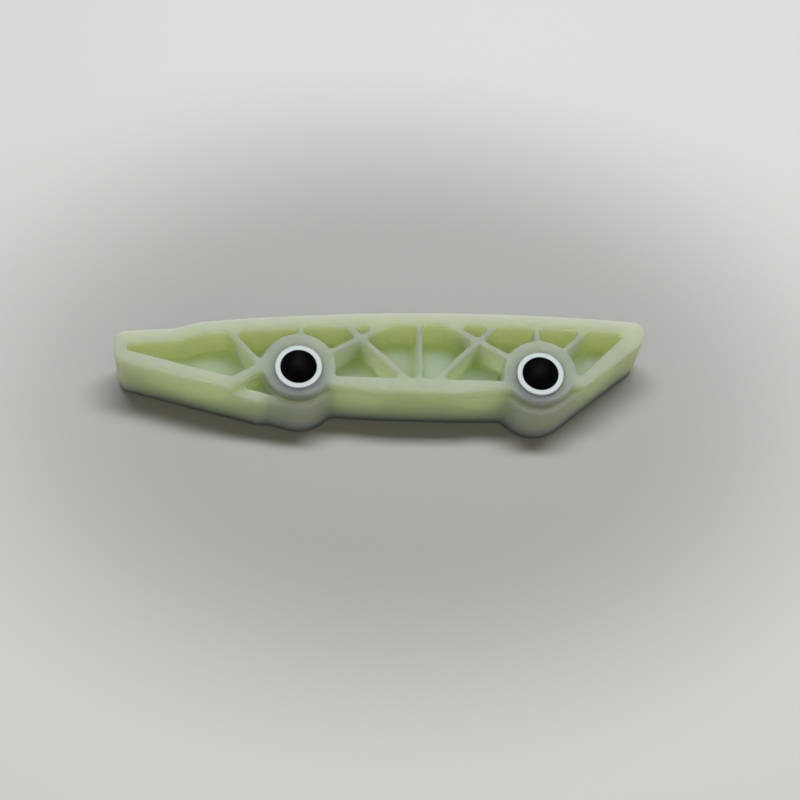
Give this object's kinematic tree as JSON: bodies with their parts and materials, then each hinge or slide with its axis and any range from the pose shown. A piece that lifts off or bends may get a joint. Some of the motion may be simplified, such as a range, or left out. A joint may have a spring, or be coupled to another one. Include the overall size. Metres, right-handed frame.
{
  "type": "timing chain guide",
  "caption": "Ribbed nylon timing chain guide rail with a slightly convex chain face, a stepped lead-in tail and steel-sleeved bolt bosses.",
  "frame": {"origin": "left bolt axis in the plane of the flat back that lies on the engine", "axes": "+X towards the right bolt, +Y towards the chain face, +Z along the bolts out of the engine"},
  "size_m": [0.1258, 0.0246, 0.0181],
  "materials": {
    "nylon": "satin, slightly translucent natural nylon",
    "steel": "turned"
  },
  "bodies": {
    "root": {"guide_body": "nylon", "left_sleeve": "steel", "right_sleeve": "steel"}
  },
  "joints": []
}
